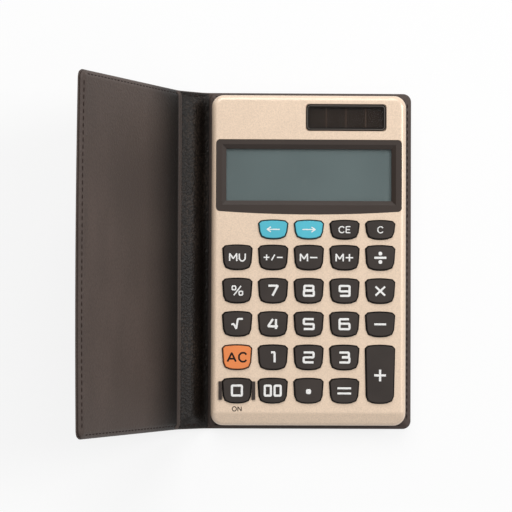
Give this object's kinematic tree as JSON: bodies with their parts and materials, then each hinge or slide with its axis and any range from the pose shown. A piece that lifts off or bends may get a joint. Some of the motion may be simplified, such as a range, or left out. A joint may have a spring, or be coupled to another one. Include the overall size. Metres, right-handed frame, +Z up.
{
  "type": "pocket_calculator",
  "caption": "Pocket calculator with a solar cell, blank display and separate keys, lying in a brown leatherette wallet whose front cover folds over it on a spine.",
  "frame": {"origin": "middle of the back cover's outer face, on the surface that the wallet rests on", "axes": "+X from the spine to the free edge of the back cover, +Y to the display end, +Z up"},
  "size_m": [0.118, 0.1234, 0.0777],
  "materials": {
    "cover_leatherette": "pebble-grained brown leatherette",
    "spine_leatherette": "pebble-grained black leatherette",
    "grey_board": "pressed grey board",
    "foam_tape": "double-sided foam tape",
    "gold_plastic": "champagne-gold satin lacquer",
    "dark_plastic": "fine-textured dark brown",
    "key_plastic": "satin dark brown",
    "cyan_plastic": "satin cyan",
    "orange_plastic": "satin orange",
    "clear_plastic": "polished clear acrylic",
    "lcd_glass": "blank grey-green display",
    "solar_glass": "dark amorphous silicon",
    "board_laminate": "phenolic laminate",
    "epoxy": "black epoxy",
    "silicone": "grey silicone",
    "steel": "plated steel",
    "foam": "black foam",
    "tinned_strip": "tinned flat lead"
  },
  "bodies": {
    "back_cover": {"back_cover_skin": "cover_leatherette", "back_cover_board": "grey_board", "back_cover_lining": "cover_leatherette", "mounting_tape": "foam_tape", "bottom_case": "dark_plastic", "top_case": "gold_plastic", "display_bezel": "dark_plastic", "display_lens": "clear_plastic", "lcd_panel": "lcd_glass", "lcd_connector": "silicone", "lcd_cushion": "foam", "solar_window": "clear_plastic", "solar_cell": "solar_glass", "solar_leads": "tinned_strip", "button_cell": "steel", "battery_contact_plus": "steel", "battery_contact_minus": "steel", "circuit_board": "board_laminate", "chip_cap": "epoxy", "case_screws": "steel", "key_mat": "silicone", "on_key_guard": "dark_plastic"},
    "spine": {"spine_skin": "cover_leatherette", "spine_lining": "spine_leatherette"},
    "front_cover": {"front_cover_skin": "cover_leatherette", "front_cover_board": "grey_board", "front_cover_pocket": "cover_leatherette"},
    "key_check_back": {"key_check_back": "cyan_plastic"},
    "key_check_next": {"key_check_next": "cyan_plastic"},
    "key_correct": {"key_correct": "key_plastic"},
    "key_review": {"key_review": "key_plastic"},
    "key_markup": {"key_markup": "key_plastic"},
    "key_sign": {"key_sign": "key_plastic"},
    "key_memory_minus": {"key_memory_minus": "key_plastic"},
    "key_memory_plus": {"key_memory_plus": "key_plastic"},
    "key_divide": {"key_divide": "key_plastic"},
    "key_percent": {"key_percent": "key_plastic"},
    "key_7": {"key_7": "key_plastic"},
    "key_8": {"key_8": "key_plastic"},
    "key_9": {"key_9": "key_plastic"},
    "key_multiply": {"key_multiply": "key_plastic"},
    "key_root": {"key_root": "key_plastic"},
    "key_4": {"key_4": "key_plastic"},
    "key_5": {"key_5": "key_plastic"},
    "key_6": {"key_6": "key_plastic"},
    "key_minus": {"key_minus": "key_plastic"},
    "key_clear": {"key_clear": "orange_plastic"},
    "key_1": {"key_1": "key_plastic"},
    "key_2": {"key_2": "key_plastic"},
    "key_3": {"key_3": "key_plastic"},
    "key_0": {"key_0": "key_plastic"},
    "key_00": {"key_00": "key_plastic"},
    "key_point": {"key_point": "key_plastic"},
    "key_equals": {"key_equals": "key_plastic"},
    "key_plus": {"key_plus": "key_plastic"}
  },
  "joints": [
    {"name": "spine_fold", "type": "hinge", "parent": "back_cover", "child": "spine", "pos_m": [-0.038, 0, 0.0003], "axis": [0, 1, 0], "range_deg": [-40, 50]},
    {"name": "cover_fold", "type": "hinge", "parent": "spine", "child": "front_cover", "pos_m": [-0.04765, 0, 0.0084], "axis": [0, 1, 0], "range_deg": [-25, 65]},
    {"name": "key_check_back_press", "type": "slide", "parent": "back_cover", "child": "key_check_back", "axis": [0, 0, -1], "range_m": [0, 0.001], "stiffness_N_per_m": 600, "deforming": ["key_mat"]},
    {"name": "key_check_next_press", "type": "slide", "parent": "back_cover", "child": "key_check_next", "axis": [0, 0, -1], "range_m": [0, 0.001], "stiffness_N_per_m": 600, "deforming": ["key_mat"]},
    {"name": "key_correct_press", "type": "slide", "parent": "back_cover", "child": "key_correct", "axis": [0, 0, -1], "range_m": [0, 0.001], "stiffness_N_per_m": 600, "deforming": ["key_mat"]},
    {"name": "key_review_press", "type": "slide", "parent": "back_cover", "child": "key_review", "axis": [0, 0, -1], "range_m": [0, 0.001], "stiffness_N_per_m": 600, "deforming": ["key_mat"]},
    {"name": "key_markup_press", "type": "slide", "parent": "back_cover", "child": "key_markup", "axis": [0, 0, -1], "range_m": [0, 0.001], "stiffness_N_per_m": 600, "deforming": ["key_mat"]},
    {"name": "key_sign_press", "type": "slide", "parent": "back_cover", "child": "key_sign", "axis": [0, 0, -1], "range_m": [0, 0.001], "stiffness_N_per_m": 600, "deforming": ["key_mat"]},
    {"name": "key_memory_minus_press", "type": "slide", "parent": "back_cover", "child": "key_memory_minus", "axis": [0, 0, -1], "range_m": [0, 0.001], "stiffness_N_per_m": 600, "deforming": ["key_mat"]},
    {"name": "key_memory_plus_press", "type": "slide", "parent": "back_cover", "child": "key_memory_plus", "axis": [0, 0, -1], "range_m": [0, 0.001], "stiffness_N_per_m": 600, "deforming": ["key_mat"]},
    {"name": "key_divide_press", "type": "slide", "parent": "back_cover", "child": "key_divide", "axis": [0, 0, -1], "range_m": [0, 0.001], "stiffness_N_per_m": 600, "deforming": ["key_mat"]},
    {"name": "key_percent_press", "type": "slide", "parent": "back_cover", "child": "key_percent", "axis": [0, 0, -1], "range_m": [0, 0.001], "stiffness_N_per_m": 600, "deforming": ["key_mat"]},
    {"name": "key_7_press", "type": "slide", "parent": "back_cover", "child": "key_7", "axis": [0, 0, -1], "range_m": [0, 0.001], "stiffness_N_per_m": 600, "deforming": ["key_mat"]},
    {"name": "key_8_press", "type": "slide", "parent": "back_cover", "child": "key_8", "axis": [0, 0, -1], "range_m": [0, 0.001], "stiffness_N_per_m": 600, "deforming": ["key_mat"]},
    {"name": "key_9_press", "type": "slide", "parent": "back_cover", "child": "key_9", "axis": [0, 0, -1], "range_m": [0, 0.001], "stiffness_N_per_m": 600, "deforming": ["key_mat"]},
    {"name": "key_multiply_press", "type": "slide", "parent": "back_cover", "child": "key_multiply", "axis": [0, 0, -1], "range_m": [0, 0.001], "stiffness_N_per_m": 600, "deforming": ["key_mat"]},
    {"name": "key_root_press", "type": "slide", "parent": "back_cover", "child": "key_root", "axis": [0, 0, -1], "range_m": [0, 0.001], "stiffness_N_per_m": 600, "deforming": ["key_mat"]},
    {"name": "key_4_press", "type": "slide", "parent": "back_cover", "child": "key_4", "axis": [0, 0, -1], "range_m": [0, 0.001], "stiffness_N_per_m": 600, "deforming": ["key_mat"]},
    {"name": "key_5_press", "type": "slide", "parent": "back_cover", "child": "key_5", "axis": [0, 0, -1], "range_m": [0, 0.001], "stiffness_N_per_m": 600, "deforming": ["key_mat"]},
    {"name": "key_6_press", "type": "slide", "parent": "back_cover", "child": "key_6", "axis": [0, 0, -1], "range_m": [0, 0.001], "stiffness_N_per_m": 600, "deforming": ["key_mat"]},
    {"name": "key_minus_press", "type": "slide", "parent": "back_cover", "child": "key_minus", "axis": [0, 0, -1], "range_m": [0, 0.001], "stiffness_N_per_m": 600, "deforming": ["key_mat"]},
    {"name": "key_clear_press", "type": "slide", "parent": "back_cover", "child": "key_clear", "axis": [0, 0, -1], "range_m": [0, 0.001], "stiffness_N_per_m": 600, "deforming": ["key_mat"]},
    {"name": "key_1_press", "type": "slide", "parent": "back_cover", "child": "key_1", "axis": [0, 0, -1], "range_m": [0, 0.001], "stiffness_N_per_m": 600, "deforming": ["key_mat"]},
    {"name": "key_2_press", "type": "slide", "parent": "back_cover", "child": "key_2", "axis": [0, 0, -1], "range_m": [0, 0.001], "stiffness_N_per_m": 600, "deforming": ["key_mat"]},
    {"name": "key_3_press", "type": "slide", "parent": "back_cover", "child": "key_3", "axis": [0, 0, -1], "range_m": [0, 0.001], "stiffness_N_per_m": 600, "deforming": ["key_mat"]},
    {"name": "key_0_press", "type": "slide", "parent": "back_cover", "child": "key_0", "axis": [0, 0, -1], "range_m": [0, 0.001], "stiffness_N_per_m": 600, "deforming": ["key_mat"]},
    {"name": "key_00_press", "type": "slide", "parent": "back_cover", "child": "key_00", "axis": [0, 0, -1], "range_m": [0, 0.001], "stiffness_N_per_m": 600, "deforming": ["key_mat"]},
    {"name": "key_point_press", "type": "slide", "parent": "back_cover", "child": "key_point", "axis": [0, 0, -1], "range_m": [0, 0.001], "stiffness_N_per_m": 600, "deforming": ["key_mat"]},
    {"name": "key_equals_press", "type": "slide", "parent": "back_cover", "child": "key_equals", "axis": [0, 0, -1], "range_m": [0, 0.001], "stiffness_N_per_m": 600, "deforming": ["key_mat"]},
    {"name": "key_plus_press", "type": "slide", "parent": "back_cover", "child": "key_plus", "axis": [0, 0, -1], "range_m": [0, 0.001], "stiffness_N_per_m": 600, "deforming": ["key_mat"]}
  ]
}
